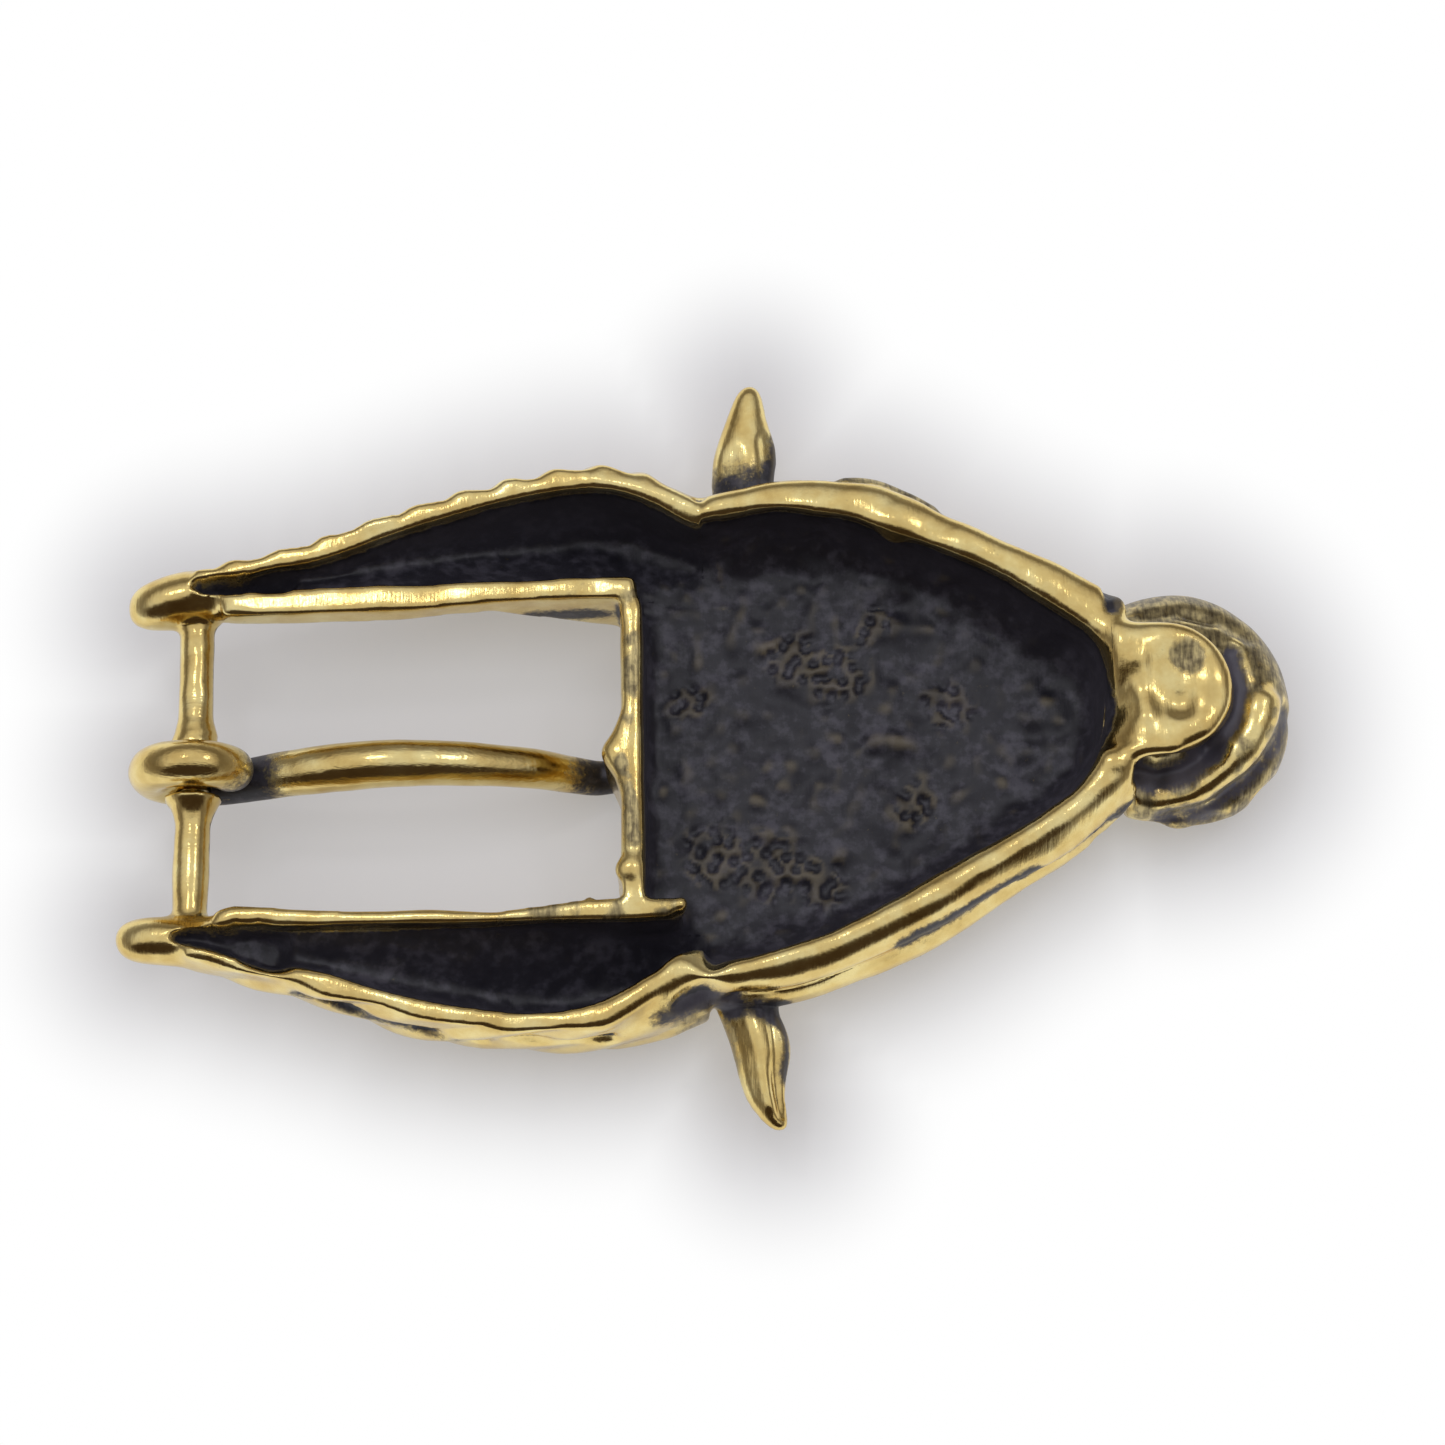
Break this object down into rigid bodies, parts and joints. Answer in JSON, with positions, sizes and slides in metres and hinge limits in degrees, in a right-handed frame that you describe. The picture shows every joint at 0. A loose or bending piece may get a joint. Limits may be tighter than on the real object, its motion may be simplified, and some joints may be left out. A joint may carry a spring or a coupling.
{
  "type": "belt buckle",
  "caption": "Cast bronze belt buckle shaped as a horned goat's head, hollow at the back, with a strap slot between the horns and a round tongue curled on a hinge bar.",
  "frame": {"origin": "middle of the buckle's outline, on the surface that its face rests on", "axes": "+X from the horn tips and hinge bar to the muzzle, +Y across the strap towards the upper horn, +Z out of the buckle's open back"},
  "size_m": [0.1072, 0.071, 0.0169],
  "materials": {
    "polished_bronze": "hand-filed and polished golden bronze, worn edges, faint file marks",
    "patinated_bronze": "cast bronze, polished on rims and raised parts, blue-black patina in the hollows"
  },
  "bodies": {
    "buckle": {"face_shell": "patinated_bronze", "muzzle": "polished_bronze", "chin_pad": "polished_bronze", "upper_ear": "polished_bronze", "lower_ear": "polished_bronze", "upper_horn": "patinated_bronze", "lower_horn": "patinated_bronze", "upper_side_rail": "polished_bronze", "lower_side_rail": "polished_bronze", "cross_bar": "polished_bronze", "hinge_bar": "polished_bronze", "upper_collar": "polished_bronze", "lower_collar": "polished_bronze"},
    "tongue": {"tongue": "polished_bronze"}
  },
  "joints": [
    {"name": "tongue_hinge", "type": "hinge", "parent": "buckle", "child": "tongue", "pos_m": [-0.04701, -0.00231, 0.011], "axis": [0, 1, 0], "range_deg": [0, 337]}
  ]
}
